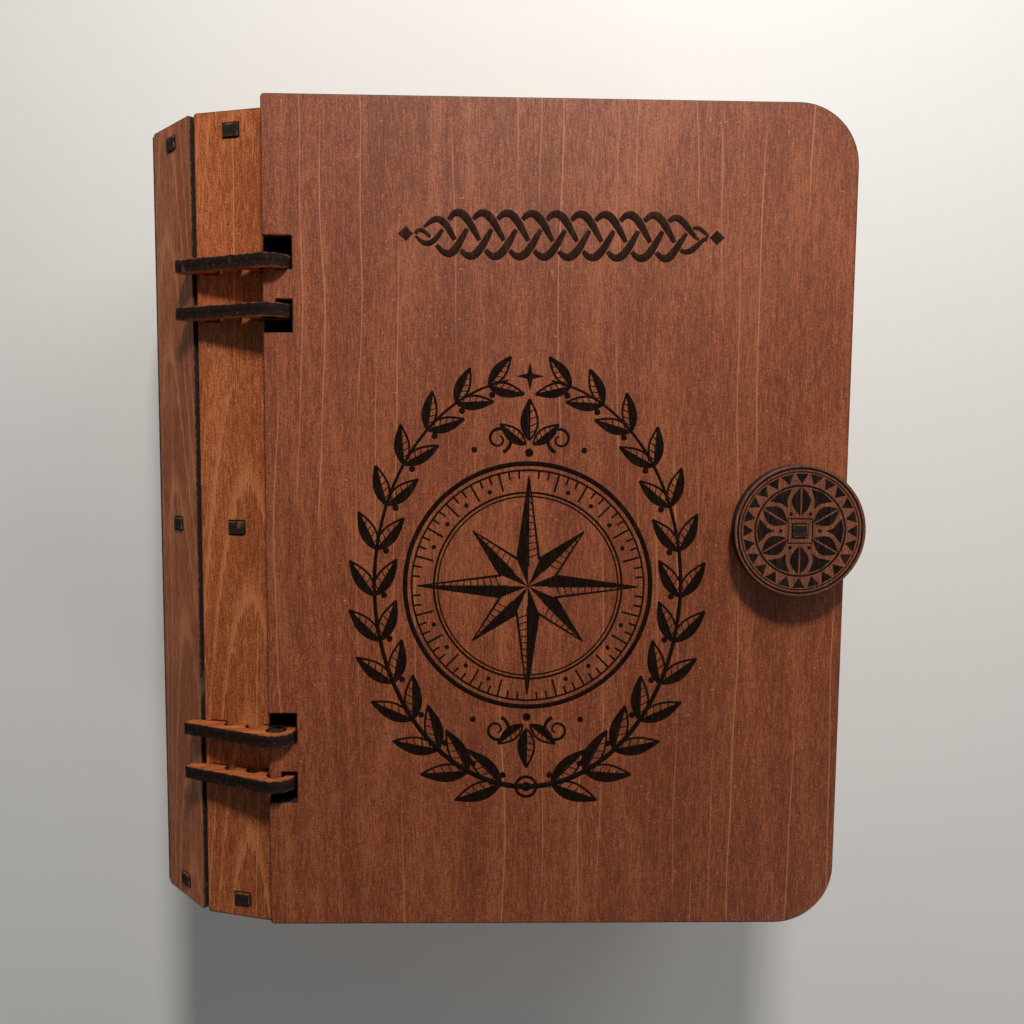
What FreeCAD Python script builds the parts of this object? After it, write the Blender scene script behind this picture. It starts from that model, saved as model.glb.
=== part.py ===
import FreeCAD, Part
import math
import os

# A book-shaped deck box of laser-cut plywood, lying on its back cover.
# X runs from the spine to the fore edge, Y from the foot to the head of the
# book, Z up through the front cover. The origin is the centre of the back
# cover's outer face. All sizes are in millimetres.

# Boards and covers
board = 3.0                 # thickness of every board
cover_height = 200.0        # head to foot
cover_width = 140.3         # hinge edge to fore edge
cover_corner = 14.5         # rounding of the two fore-edge corners
cover_hinge_corner = 1.0    # rounding of the two hinge-edge corners
cover_lift = 1.65           # front cover's centre above the case's centre, towards the head
cover_seat = 0.3            # gap between the case's rim and the closed cover

# Faceted spine
slat_count = 6              # slats round the half turn from cover to cover
slat_width = 19.73
slat_trim = 1.5             # taken off the edge of the first and the last slat beside a cover
slat_corner = 0.8           # rounding of a slat's corners
slat_edge_gap = 0.02        # gap between the inner edges of two slats, which all but touch
slat_cover_gap = 0.9        # between a cover's inner face and the edge of the first slat

# Case
plate_recess = 3.1          # outer face of the head and foot plates below the slats' ends
fore_edge_recess = 5.65     # outer face of the fore-edge wall inside the covers' edge
tenon_width = 4.0           # tenons through the slats
tenon_proud = 0.4           # how far those tenons stand out of the slats
tenon_play = 0.25           # gap on each side of those tenons
tab_width = 12.0            # tabs that join plates, walls and the back cover
tab_play = 0.1              # gap on each side of a tab
tab_inset = 20.9            # from the rim or the back cover to the middle of a tab between plate and wall
cover_tab_spacing = 70.0    # between the two tabs of a plate in the back cover
wall_tab_spacing = 100.0    # between the two tabs of a wall in the back cover
hinge_relief = 3.7          # how far the plates' rim is cut back beside the hinge axis
spine_wall_inset = 4.2      # from the inner edge of the first slat to the spine wall

# Strap hinges
hinge_spacing = 114.4       # between the centres of the two hinges
hinge_lift = 0.55           # hinges' centre above the case's centre, towards the head
tongue_height = 6.9         # tongue of the cover between the two straps of a hinge
tongue_lift = 0.5           # tongue's centre above the middle of the two straps
strap_play = 1.4            # free height between the straps beyond the tongue
notch_height = 7.8          # open notches of the cover beside each tongue
notch_play = 0.65           # between a strap's ring and the end of its notch
pin_length = 3.0
pin_play = 0.28             # between the pin's corners and the ring's hole
ring_wall = 2.35
strap_reach = 23.7          # from the slat's hinge edge to the strap's far end, along the slat
strap_end_width = 3.0
strap_end_chamfer = 1.0
strap_tab_centre = 15.7     # along the slat
strap_tab_width = 4.0
strap_tab_proud = 0.6       # how far the tab comes through the slat
strap_slot_play = 0.2       # gap round a strap where it passes the slat
relief_bites = ((5.5, 1.95), (12.1, 1.35))   # place along the slat, radius of the round top
relief_rise = 0.9           # straight sides of a bite below its round top

# Turning latch
latch_inset = 13.2          # latch axis inside the cover's fore edge
latch_lift = 1.3            # latch axis above the case's centre, towards the head
disc_diameter = 31.2
spacer_diameter = 16.0
washer_diameter = 8.0
cam_hub_radius = 4.0
cam_tip_radius = 2.5
cam_reach = 7.0             # from the latch axis to the tip of the cam
shaft_width = 3.5
shaft_play = 0.2            # gap on each side of the shaft in the pieces that it turns
shaft_running_play = 0.25   # between the shaft's corners and the cover's hole
shaft_proud = 0.3           # shaft's end in front of the disc
shaft_foot_width = 7.0
shaft_foot_height = 2.5
latch_end_play = 0.2        # between the cover and the pieces on each side of it
keeper_play = 0.4           # between the cam and its slot in the fore-edge wall
latch_clearance = 0.8       # between the latch and the middle plate

# Worked out from the sizes above
half_step = math.pi / slat_count / 2
slat_inner_radius = (slat_width + slat_edge_gap) / 2 / math.tan(half_step)
slat_outer_radius = slat_inner_radius + board
hinge_x = -cover_width / 2 + board / 2
spine_rise = slat_outer_radius * math.cos(half_step) + slat_width / 2 * math.sin(half_step)
middle_z = board + slat_cover_gap + spine_rise
cover_back_z = 2 * middle_z - board
cover_front_z = cover_back_z + board
rim_z = cover_back_z - cover_seat
hinge_z = cover_back_z + board / 2
wall_outer_x = cover_width / 2 - fore_edge_recess
wall_inner_x = wall_outer_x - board
slat_length = cover_height
plate_centre_y = slat_length / 2 - plate_recess - board / 2
pin_hole_radius = board / 2 * math.sqrt(2) + pin_play
ring_radius = pin_hole_radius + ring_wall
notch_depth = board / 2 + ring_radius + notch_play
latch_x = cover_width / 2 - latch_inset
cam_top_z = cover_back_z - latch_end_play - board
cam_bottom_z = cam_top_z - board
shaft_foot_z = cam_bottom_z - shaft_foot_height
tab_heights = [board + tab_inset, rim_z - tab_inset]
axis_x = FreeCAD.Vector(1, 0, 0)
axis_y = FreeCAD.Vector(0, 1, 0)
axis_z = FreeCAD.Vector(0, 0, 1)


def prism(points, thickness=board, base=0.0):
    """Board of any straight-sided outline, drawn flat in X and Y."""
    corners = [FreeCAD.Vector(x, y, base) for x, y in points]
    outline = Part.makePolygon(corners + corners[:1])
    return Part.Face(outline).extrude(FreeCAD.Vector(0, 0, thickness))


def rectangle(x_low, x_high, y_low, y_high, thickness=board, base=0.0):
    """Rectangular board, drawn flat in X and Y."""
    size = (x_high - x_low, y_high - y_low, thickness)
    return Part.makeBox(*size, FreeCAD.Vector(x_low, y_low, base))


def disc(x, y, radius, thickness=board, base=0.0):
    """Round board, drawn flat in X and Y."""
    return Part.makeCylinder(radius, thickness, FreeCAD.Vector(x, y, base))


def rounded(solid, radius, chosen):
    """Round the upright corner edges whose place the chooser accepts."""
    upright = []
    for edge in solid.Edges:
        start = edge.Vertexes[0].Point
        end = edge.Vertexes[-1].Point
        along_z = abs(start.x - end.x) + abs(start.y - end.y) < 1e-6
        if along_z and chosen(start.x, start.y):
            upright.append(edge)
    return solid.makeFillet(radius, upright)


def cutter(x_low, x_high, y_low, y_high):
    """Rectangle that passes right through a flat board."""
    return rectangle(x_low, x_high, y_low, y_high, 3 * board, -board)


def stand(flat_board, origin, across, along):
    """Stand a flat board up: its X runs across, its Y runs along."""
    turn = FreeCAD.Rotation(across, along, across.cross(along), "ZXY")
    placed = flat_board.copy()
    placed.Placement = FreeCAD.Placement(origin, turn)
    return placed


def slat_angle(index):
    """Angle of a slat from the plane of the covers."""
    return (2 * index + 1) * half_step


def slat_directions(index):
    """Unit vectors along the slat, away from the front cover, and out of its face."""
    angle = slat_angle(index)
    along = FreeCAD.Vector(-math.cos(angle), 0, -math.sin(angle))
    outward = FreeCAD.Vector(-math.sin(angle), 0, math.cos(angle))
    return along, outward


def slat_start(index):
    """Middle of the slat's near edge, on its outer face."""
    along, outward = slat_directions(index)
    centre = FreeCAD.Vector(hinge_x, 0, middle_z)
    return centre + outward * slat_outer_radius - along * (slat_width / 2)


def station_heights():
    """Centre of each strap hinge along Y, foot first."""
    return [hinge_lift + side * hinge_spacing / 2 for side in (-1, 1)]


def strap_bottoms():
    """Lower face of each strap along Y, foot first."""
    half_gap = (tongue_height + strap_play) / 2
    bottoms = []
    for centre in station_heights():
        bottoms += [centre - half_gap - board, centre + half_gap]
    return bottoms


def ring_centre():
    """Hinge axis seen along Y, as a distance along the first slat and out of its face."""
    along, outward = slat_directions(0)
    from_edge = FreeCAD.Vector(hinge_x, 0, hinge_z) - slat_start(0)
    return from_edge.dot(along), from_edge.dot(outward)


def ring_reach():
    """How far along the first slat a strap's ring passes below its outer face."""
    centre_along, centre_out = ring_centre()
    return centre_along + math.sqrt(ring_radius ** 2 - centre_out ** 2)


def plate_heights():
    """Middle of the foot, middle and head plates along Y."""
    return {"foot": -plate_centre_y, "middle": 0.0, "head": plate_centre_y}


def spine_slat(index):
    """One slat with a slot for a tenon of each plate; the first also holds the straps."""
    half = slat_length / 2
    near = slat_trim if index == 0 else 0.0
    far = slat_width - (slat_trim if index == slat_count - 1 else 0.0)
    slat = rectangle(near, far, -half, half)
    slat = rounded(slat, slat_corner, lambda x, y: True)
    half_slot = tenon_width / 2 + tenon_play
    half_rise = board / 2 + tenon_play
    middle = slat_width / 2
    for height in plate_heights().values():
        low = height - half_rise
        slat = slat.cut(cutter(middle - half_slot, middle + half_slot, low, height + half_rise))
    if index == 0:
        half_tab = strap_tab_width / 2 + strap_slot_play
        ring_slot = ring_reach() + strap_slot_play
        for bottom in strap_bottoms():
            low = bottom - strap_slot_play
            high = bottom + board + strap_slot_play
            slat = slat.cut(cutter(strap_tab_centre - half_tab, strap_tab_centre + half_tab, low, high))
            slat = slat.cut(cutter(-board, ring_slot, low, high))
    return stand(slat, slat_start(index), slat_directions(index)[0], axis_y)


def plate_outline():
    """Half-round faceted outline of a plate in X and Z, inside the slats."""
    first = slat_start(0) - slat_directions(0)[1] * board
    last_along, last_out = slat_directions(slat_count - 1)
    last = slat_start(slat_count - 1) - last_out * board + last_along * slat_width
    corner_radius = slat_inner_radius / math.cos(half_step)
    points = [(wall_inner_x, rim_z), (hinge_x + hinge_relief, rim_z), (first.x, first.z)]
    for corner in range(1, slat_count):
        angle = 2 * corner * half_step
        corner_x = hinge_x - corner_radius * math.sin(angle)
        points.append((corner_x, middle_z + corner_radius * math.cos(angle)))
    points += [(last.x, last.z), (last.x, board), (wall_inner_x, board)]
    return points


def spine_tenon(index):
    """Tenon of a plate through the middle of one slat."""
    along, outward = slat_directions(index)
    root = FreeCAD.Vector(hinge_x, 0, middle_z) + outward * (slat_inner_radius - board)
    tip = root + outward * (2 * board + tenon_proud)
    side = along * (tenon_width / 2)
    corners = [root - side, root + side, tip + side, tip - side]
    return prism([(corner.x, corner.z) for corner in corners])


def spine_wall_x():
    """Spine side of the wall that closes the card bays towards the spine."""
    return slat_start(0).x + board * math.sin(half_step) + spine_wall_inset


def lap_height():
    """Height at which the spine wall and the middle plate lap over each other."""
    return (board + spine_wall_top()) / 2


def spine_wall_top():
    """The spine wall ends level with the inner edge of the first slat."""
    return slat_start(0).z - board * math.cos(half_step)


def plate(name):
    """One of the three plates across the case, with its tenons and tabs."""
    solid = prism(plate_outline())
    for index in range(slat_count):
        solid = solid.fuse(spine_tenon(index))
    for side in (-1, 1):
        centre = side * cover_tab_spacing / 2
        solid = solid.fuse(rectangle(centre - tab_width / 2, centre + tab_width / 2, 0, 2 * board))
    for height in tab_heights:
        low = height - tab_width / 2
        solid = solid.fuse(rectangle(wall_inner_x - board, wall_outer_x, low, low + tab_width))
    wall_low = spine_wall_x() - tab_play
    wall_high = spine_wall_x() + board + tab_play
    if name == "middle":
        solid = solid.cut(cutter(wall_low, wall_high, -board, lap_height() + tab_play))
        recess_low = latch_x - max(cam_hub_radius, washer_diameter / 2) - latch_clearance
        recess_bottom = shaft_foot_z - latch_clearance
        solid = solid.cut(cutter(recess_low, cover_width, recess_bottom, cover_front_z))
    else:
        for height in tab_heights:
            low = height - tab_width / 2 - tab_play
            solid = solid.cut(cutter(wall_low, wall_high, low, low + tab_width + 2 * tab_play))
    solid = solid.removeSplitter()
    top_face = FreeCAD.Vector(0, plate_heights()[name] + board / 2, 0)
    return stand(solid, top_face, axis_x, axis_z)


def wall_with_tabs(half_height, top):
    """Wall drawn in Y and Z, with two tabs into the back cover."""
    solid = rectangle(-half_height, half_height, board, top)
    for side in (-1, 1):
        centre = side * wall_tab_spacing / 2
        solid = solid.fuse(rectangle(centre - tab_width / 2, centre + tab_width / 2, 0, 2 * board))
    return solid


def fore_edge_wall():
    """Wall along the fore edge, finger-jointed to the plates, with the cam's slot."""
    solid = wall_with_tabs(plate_centre_y + board / 2, rim_z)
    half_slot = board / 2 + tab_play
    for centre in plate_heights().values():
        for height in tab_heights:
            low = height - tab_width / 2 - tab_play
            high = low + tab_width + 2 * tab_play
            solid = solid.cut(cutter(centre - half_slot, centre + half_slot, low, high))
    sweep = math.sqrt(cam_reach ** 2 - (wall_inner_x - latch_x) ** 2)
    slot_low = latch_lift - cam_tip_radius - keeper_play
    slot_high = latch_lift + sweep + keeper_play
    slot_bottom = cam_bottom_z - keeper_play
    slot_top = cam_top_z + keeper_play
    solid = solid.cut(cutter(slot_low, slot_high, slot_bottom, slot_top)).removeSplitter()
    return stand(solid, FreeCAD.Vector(wall_inner_x, 0, 0), axis_y, axis_z)


def spine_wall():
    """Wall between the card bays and the spine, lapped over the middle plate."""
    half_height = plate_centre_y - board / 2
    solid = wall_with_tabs(half_height, spine_wall_top())
    for side in (-1, 1):
        for height in tab_heights:
            low = height - tab_width / 2
            ends = sorted((side * (half_height - board), side * (half_height + board)))
            solid = solid.fuse(rectangle(ends[0], ends[1], low, low + tab_width))
    half_slot = board / 2 + tab_play
    solid = solid.cut(cutter(-half_slot, half_slot, lap_height() - tab_play, cover_front_z))
    solid = solid.removeSplitter()
    return stand(solid, FreeCAD.Vector(spine_wall_x(), 0, 0), axis_y, axis_z)


def cover_board(centre_y):
    """Board with the outline that both covers share."""
    half_width = cover_width / 2
    low = centre_y - cover_height / 2
    solid = rectangle(-half_width, half_width, low, low + cover_height)
    solid = rounded(solid, cover_corner, lambda x, y: x > 0)
    return rounded(solid, cover_hinge_corner, lambda x, y: x <= -half_width + 1e-6)


def back_cover():
    """Fixed back cover, with a slot for each tab of the plates and walls."""
    solid = cover_board(0.0)
    half_long = tab_width / 2 + tab_play
    half_short = board / 2 + tab_play
    for side in (-1, 1):
        x_mid = side * cover_tab_spacing / 2
        y_mid = side * wall_tab_spacing / 2
        for height in plate_heights().values():
            low = height - half_short
            solid = solid.cut(cutter(x_mid - half_long, x_mid + half_long, low, height + half_short))
        for wall_x in (wall_inner_x + board / 2, spine_wall_x() + board / 2):
            low = wall_x - half_short
            solid = solid.cut(cutter(low, wall_x + half_short, y_mid - half_long, y_mid + half_long))
    return solid


def front_cover():
    """Swinging cover: each hinge tongue carries a square pin at its head and its foot."""
    solid = cover_board(cover_lift)
    edge = -cover_width / 2
    for station in station_heights():
        centre = station + tongue_lift
        for side in (-1, 1):
            shoulder = centre + side * tongue_height / 2
            notch = sorted((shoulder, shoulder + side * notch_height))
            pin = sorted((shoulder - side * board, shoulder + side * pin_length))
            solid = solid.cut(cutter(edge - board, edge + notch_depth, notch[0], notch[1]))
            solid = solid.fuse(rectangle(edge, edge + board, pin[0], pin[1]))
    hole = math.hypot(shaft_width, board) / 2 + shaft_running_play
    solid = solid.cut(disc(latch_x, latch_lift, hole, 3 * board, -board)).removeSplitter()
    return stand(solid, FreeCAD.Vector(0, 0, cover_back_z), axis_x, axis_y)


def hinge_strap(bottom):
    """Tapered strap: a ring round the cover's pin, and an arm tabbed into the first slat."""
    ring_along, ring_out = ring_centre()
    run = strap_reach - ring_along
    rise = strap_end_width - ring_out
    turn = math.atan2(rise, run) + math.acos(ring_radius / math.hypot(run, rise))
    tangent = (ring_along + ring_radius * math.cos(turn), ring_out + ring_radius * math.sin(turn))
    far_end = [(strap_reach, strap_end_width), (strap_reach, strap_end_chamfer),
               (strap_reach - strap_end_chamfer, 0)]
    solid = prism([tangent] + far_end + [(ring_along, 0), (ring_along, ring_out)])
    solid = solid.fuse(disc(ring_along, ring_out, ring_radius))
    tab_low = strap_tab_centre - strap_tab_width / 2
    solid = solid.fuse(rectangle(tab_low, tab_low + strap_tab_width, -board - strap_tab_proud, board / 2))
    for place, radius in relief_bites:
        solid = solid.cut(disc(place, relief_rise, radius, 3 * board, -board))
        solid = solid.cut(cutter(place - radius, place + radius, -board, relief_rise))
    solid = solid.cut(disc(ring_along, ring_out, pin_hole_radius, 3 * board, -board)).removeSplitter()
    along, outward = slat_directions(0)
    return stand(solid, slat_start(0) + axis_y * bottom, along, outward)


def keyed(solid):
    """Cut the shaft's hole through a piece that turns with it."""
    half_width = shaft_width / 2 + shaft_play
    half_depth = board / 2 + shaft_play
    return solid.cut(cutter(-half_width, half_width, -half_depth, half_depth))


def on_latch_axis(solid, base):
    """Move a piece drawn round the origin to the latch axis."""
    return stand(solid, FreeCAD.Vector(latch_x, latch_lift, base), axis_x, axis_y)


def latch_cam():
    """Flat cam: a hub drawn out to a rounded tip, which points to the head when open."""
    tip_y = cam_reach - cam_tip_radius
    lean = math.asin((cam_hub_radius - cam_tip_radius) / tip_y)
    flanks = []
    for side in (1, -1):
        ends = [(side * cam_hub_radius * math.cos(lean), cam_hub_radius * math.sin(lean)),
                (side * cam_tip_radius * math.cos(lean), tip_y + cam_tip_radius * math.sin(lean))]
        flanks += ends[::side]
    solid = prism(flanks)
    solid = solid.fuse(disc(0, 0, cam_hub_radius)).fuse(disc(0, tip_y, cam_tip_radius))
    return on_latch_axis(keyed(solid).removeSplitter(), cam_bottom_z)


def latch_shaft():
    """Flat key with a foot: it carries the disc in front and the cam behind."""
    disc_front = cover_front_z + latch_end_play + 2 * board
    half_width = shaft_width / 2
    half_foot = shaft_foot_width / 2
    solid = rectangle(-half_width, half_width, shaft_foot_z, disc_front + shaft_proud)
    solid = solid.fuse(rectangle(-half_foot, half_foot, shaft_foot_z, cam_bottom_z)).removeSplitter()
    return stand(solid, FreeCAD.Vector(latch_x, latch_lift + board / 2, 0), axis_x, axis_z)


def deck_box():
    """Every board of the box, by name."""
    pieces = {"front_cover": front_cover(), "back_cover": back_cover()}
    for name in plate_heights():
        pieces[name + "_plate"] = plate(name)
    pieces["fore_edge_wall"] = fore_edge_wall()
    pieces["spine_wall"] = spine_wall()
    for index in range(slat_count):
        pieces["spine_slat_%d" % (index + 1)] = spine_slat(index)
    for index, bottom in enumerate(strap_bottoms()):
        pieces["hinge_strap_%d" % (index + 1)] = hinge_strap(bottom)
    front_face = cover_front_z + latch_end_play
    pieces["latch_spacer"] = on_latch_axis(keyed(disc(0, 0, spacer_diameter / 2)), front_face)
    pieces["latch_disc"] = on_latch_axis(keyed(disc(0, 0, disc_diameter / 2)), front_face + board)
    pieces["latch_washer"] = on_latch_axis(keyed(disc(0, 0, washer_diameter / 2)), cam_top_z)
    pieces["latch_cam"] = latch_cam()
    pieces["latch_shaft"] = latch_shaft()
    return pieces


os.makedirs("parts", exist_ok=True)
for node, shape in deck_box().items():
    shape.exportStep("parts/%s.step" % node)
    print(node, len(shape.Solids), round(shape.Volume, 1), shape.isValid())
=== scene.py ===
# %% [markdown]
# A deck box in the shape of a book, cut by laser from 3 mm plywood and stained
# reddish brown. Its boards already exist as exact solids, so this script starts
# by loading them as a fixed frame: every piece added here is placed by asking
# that frame where a board lies, and never by eye.

# %% Load the frame
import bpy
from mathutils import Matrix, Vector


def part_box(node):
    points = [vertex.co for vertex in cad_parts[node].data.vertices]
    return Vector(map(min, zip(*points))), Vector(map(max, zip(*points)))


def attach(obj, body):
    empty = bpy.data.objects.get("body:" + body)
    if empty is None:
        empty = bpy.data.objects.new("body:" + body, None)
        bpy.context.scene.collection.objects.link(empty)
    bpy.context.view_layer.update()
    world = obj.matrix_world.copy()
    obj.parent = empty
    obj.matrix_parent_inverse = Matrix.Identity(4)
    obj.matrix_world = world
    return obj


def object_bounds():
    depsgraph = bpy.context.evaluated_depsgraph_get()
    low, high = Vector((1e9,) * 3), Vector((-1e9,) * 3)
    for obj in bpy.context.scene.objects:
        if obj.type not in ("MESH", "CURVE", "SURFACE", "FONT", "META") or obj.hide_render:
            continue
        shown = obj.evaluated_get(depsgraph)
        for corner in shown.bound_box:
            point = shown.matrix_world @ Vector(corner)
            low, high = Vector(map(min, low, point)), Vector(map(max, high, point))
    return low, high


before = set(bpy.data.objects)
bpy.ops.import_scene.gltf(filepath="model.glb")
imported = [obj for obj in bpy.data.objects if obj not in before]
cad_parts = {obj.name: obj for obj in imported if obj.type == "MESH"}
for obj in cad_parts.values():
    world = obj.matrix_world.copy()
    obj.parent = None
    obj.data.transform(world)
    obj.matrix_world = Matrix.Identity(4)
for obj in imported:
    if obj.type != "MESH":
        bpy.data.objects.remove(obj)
cad_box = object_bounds()

# %% [markdown]
# Blender counts in metres, a woodworker in millimetres. One named factor
# turns a size in millimetres into scene units, so that every size below can be
# written as it would be marked on the bench.

# %% Units and colours
from math import atan2, cos, degrees, pi, radians, sin

import bmesh
import bpy
from mathutils import Matrix, Vector

MM = 0.001


def colour(red, green, blue):
    """A colour as read off a screen, 0 to 255, turned into Blender's linear light."""
    linear = []
    for part in (red / 255, green / 255, blue / 255):
        linear.append(part / 12.92 if part <= 0.04045 else ((part + 0.055) / 1.055) ** 2.4)
    return (*linear, 1.0)


print("one millimetre is", MM, "scene units")

# %% [markdown]
# A procedural material is a small machine of nodes. A few helpers keep each
# machine readable: they add a node and feed its inputs, do arithmetic, measure
# along a direction, mix two colours and cut a soft step. A value that is itself
# a socket is linked, and any other value is simply set.

# %% Node helpers


def add(tree, kind, inputs=None, **settings):
    """Add a shader node, set its properties and feed its inputs."""
    made = tree.nodes.new("ShaderNode" + kind)
    for name, value in settings.items():
        setattr(made, name, value)
    for key, value in (inputs or {}).items():
        if isinstance(value, bpy.types.NodeSocket):
            tree.links.new(value, made.inputs[key])
        else:
            made.inputs[key].default_value = value
    return made


def maths(tree, operation, *values, clamp=False):
    """One step of arithmetic on numbers or sockets."""
    made = add(tree, "Math", dict(enumerate(values)), operation=operation, use_clamp=clamp)
    return made.outputs[0]


def length_along(tree, vector, direction):
    """How far a vector reaches in a direction."""
    inputs = {0: vector, 1: direction}
    return add(tree, "VectorMath", inputs, operation="DOT_PRODUCT").outputs["Value"]


def blend(tree, share, first, second):
    """Mix two colours: share 0 gives the first, 1 the second."""
    return add(tree, "Mix", {0: share, 6: first, 7: second}, data_type="RGBA").outputs[2]


def band(tree, value, none, full):
    """A soft step: 0 where the value is at none, 1 where it is at full, whichever is larger."""
    inputs = {"Value": value, "From Min": none, "From Max": full}
    return add(tree, "MapRange", inputs, interpolation_type="SMOOTHSTEP").outputs["Result"]


def new_group(name, inputs, outputs):
    """Start a node group; inputs and outputs map a socket's name to its kind."""
    group = bpy.data.node_groups.new(name, "ShaderNodeTree")
    for socket, kind in inputs.items():
        group.interface.new_socket(socket, in_out="INPUT", socket_type="NodeSocket" + kind)
    for socket, kind in outputs.items():
        group.interface.new_socket(socket, in_out="OUTPUT", socket_type="NodeSocket" + kind)
    entry = group.nodes.new("NodeGroupInput")
    leave = group.nodes.new("NodeGroupOutput")
    return group, entry.outputs, leave.inputs


print("node helpers ready")

# %% [markdown]
# Thin stained plywood, seen close, is granular: short dashes of open fibre a
# few tenths of a millimetre wide lie along the grain, with an even finer grit
# between them. Soft streaks, the looping figure that a peeling knife leaves and
# a stain that soaked in unevenly come after those. Now and then a thin pale line
# runs from end to end or a pale speck shows. Each is a noise stretched along the
# grain. Every board uses them, so they are built once, as a node group.

# %% Grain noises

# Features to a metre across and along the grain, detail, roughness, distortion.
GRAIN_NOISE = {
    "dashes": (3000, 260, 1, 0.6),
    "grit": (4000, 3000, 1, 0.6),
    "streaks": (800, 10, 3, 0.6),
    "wide": (60, 6, 2),
    "stain": (30, 16, 4, 0.6),
    "peeling": (15, 2.4, 1.5, 0.4, 0.3),
    "wander": (22, 7, 2, 0.5),
    "stretches": (260, 8, 1),
    "dust": (1500, 1100, 0),
    "pores": (3000, 200, 1, 0.5),
    "flames": (9, 7, 1),
}


def stretched_noise(tree, place, across, along, detail, roughness=0.55, distortion=0.0):
    """Noise with so many features to a metre across and along the grain."""
    scaled = add(tree, "VectorMath", {0: place, 1: (across, along, across)}, operation="MULTIPLY")
    inputs = {"Vector": scaled.outputs[0], "Scale": 1.0, "Detail": detail, "Roughness": roughness,
              "Distortion": distortion}
    return add(tree, "TexNoise", inputs).outputs["Fac"]


print("grain noises:", ", ".join(GRAIN_NOISE))

# %% [markdown]
# The tone is the sum of the noises, each with its own share. The figure is cut
# out of a slow noise by a sine, which turns its slopes into rings. Flames are
# nested arches along a board's middle, pale at the front and fading behind, as
# year rings look where the knife met them at a slant: the distance along the
# board plus the square of the distance from its middle is cut into even steps.
# The pale lines are tracks at even distances across the grain that wander a
# little. Other noises choose the stretches where flames and lines show.

# %% Grain group

# A step is a pair: the value where it is 0 and the value where it is 1.
TONE_SHARES = {"dashes": 1.15, "grit": 1.6, "streaks": 0.45, "wide": 0.3}
RING_TURNS = 95.0
RING_SHARPNESS = 3.0
RING_MEAN = 0.3
FLAMES_TO_A_METRE = 34.0
FLAME_NARROWNESS = 145.0
FLAME_WANDER = 1.6
FLAME_RAGGEDNESS = 0.30
FLAME_SWAY = 0.04
FLAME_TAIL_STEP = (0.34, 0.0)
FLAME_PLACES_STEP = (0.47, 0.60)
FLAME_MEAN = 0.08
TRACKS_TO_A_METRE = 210.0
TRACK_WANDER = 2.6
TRACK_WIDTH_STEP = (0.045, 0.012)
TRACK_PLACES_STEP = (0.48, 0.64)
SPECK_STEP = (0.80, 0.86)
PORE_STEP = (0.62, 0.72)
PORE_DEPTH = 0.6


def build_flames(group, noise, across, along, middle):
    """Nested pointed arches: 1 at each arch's front, fading to 0 behind it."""
    sway = maths(group, "MULTIPLY_ADD", noise["peeling"], FLAME_SWAY, -FLAME_SWAY / 2)
    aside = maths(group, "SUBTRACT", across, maths(group, "ADD", middle, sway))
    aside = maths(group, "MULTIPLY", aside, FLAME_NARROWNESS)
    bow = maths(group, "MULTIPLY", aside, aside)
    rise = maths(group, "MULTIPLY_ADD", along, FLAMES_TO_A_METRE, bow)
    rise = maths(group, "MULTIPLY_ADD", noise["wander"], FLAME_WANDER, rise)
    rise = maths(group, "MULTIPLY_ADD", noise["dashes"], FLAME_RAGGEDNESS, rise)
    fading = band(group, maths(group, "FRACT", rise), *FLAME_TAIL_STEP)
    return maths(group, "MULTIPLY", fading, band(group, noise["flames"], *FLAME_PLACES_STEP))


def build_tone(group, noise, flames, given):
    """Lightness of the wood from dark 0 to light 1."""
    rings = maths(group, "SINE", maths(group, "MULTIPLY", noise["peeling"], RING_TURNS))
    figure = maths(group, "POWER", maths(group, "MULTIPLY_ADD", rings, 0.5, 0.5), RING_SHARPNESS)
    tone = 0.5
    for name, share in TONE_SHARES.items():
        part = maths(group, "MULTIPLY_ADD", noise[name], share, -share / 2)
        tone = maths(group, "ADD", tone, part)
    for pattern, mean, share in ((figure, RING_MEAN, "Figure"), (flames, FLAME_MEAN, "Flames"),
                                 (noise["stain"], 0.5, "Blotches")):
        part = maths(group, "MULTIPLY", maths(group, "SUBTRACT", pattern, mean), given[share])
        tone = maths(group, "ADD", tone, part)
    return maths(group, "MINIMUM", tone, 1.0, clamp=True)


def build_lines(group, noise, across):
    """Mask of the thin pale lines and the pale specks."""
    track = maths(group, "ADD", maths(group, "MULTIPLY", across, TRACKS_TO_A_METRE),
                  maths(group, "MULTIPLY", noise["wander"], TRACK_WANDER))
    beside = maths(group, "ABSOLUTE", maths(group, "SUBTRACT", maths(group, "FRACT", track), 0.5))
    thin = band(group, beside, *TRACK_WIDTH_STEP)
    chosen = band(group, noise["stretches"], *TRACK_PLACES_STEP)
    specks = band(group, noise["dust"], *SPECK_STEP)
    return maths(group, "ADD", maths(group, "MULTIPLY", thin, chosen), specks, clamp=True)


def build_grain():
    """Group: Tone runs from dark 0 to light 1, Lines and Pores are masks, Height is for bump."""
    group, given, result = new_group(
        "stained veneer grain",
        {"Place": "Vector", "Across": "Vector", "Centre line": "Float", "Figure": "Float",
         "Flames": "Float", "Blotches": "Float"},
        {"Tone": "Float", "Lines": "Float", "Pores": "Float", "Height": "Float"})
    noise = {name: stretched_noise(group, given["Place"], *facts) for name, facts in GRAIN_NOISE.items()}
    across = length_along(group, given["Place"], given["Across"])
    along = length_along(group, given["Place"], (0, 1, 0))
    flames = build_flames(group, noise, across, along, given["Centre line"])
    pores = band(group, noise["pores"], *PORE_STEP)
    fibres = maths(group, "ADD", noise["dashes"], noise["grit"])
    height = maths(group, "SUBTRACT", fibres, maths(group, "MULTIPLY", pores, PORE_DEPTH))
    group.links.new(build_tone(group, noise, flames, given), result["Tone"])
    group.links.new(build_lines(group, noise, across), result["Lines"])
    group.links.new(pores, result["Pores"])
    group.links.new(height, result["Height"])
    return group


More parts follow.
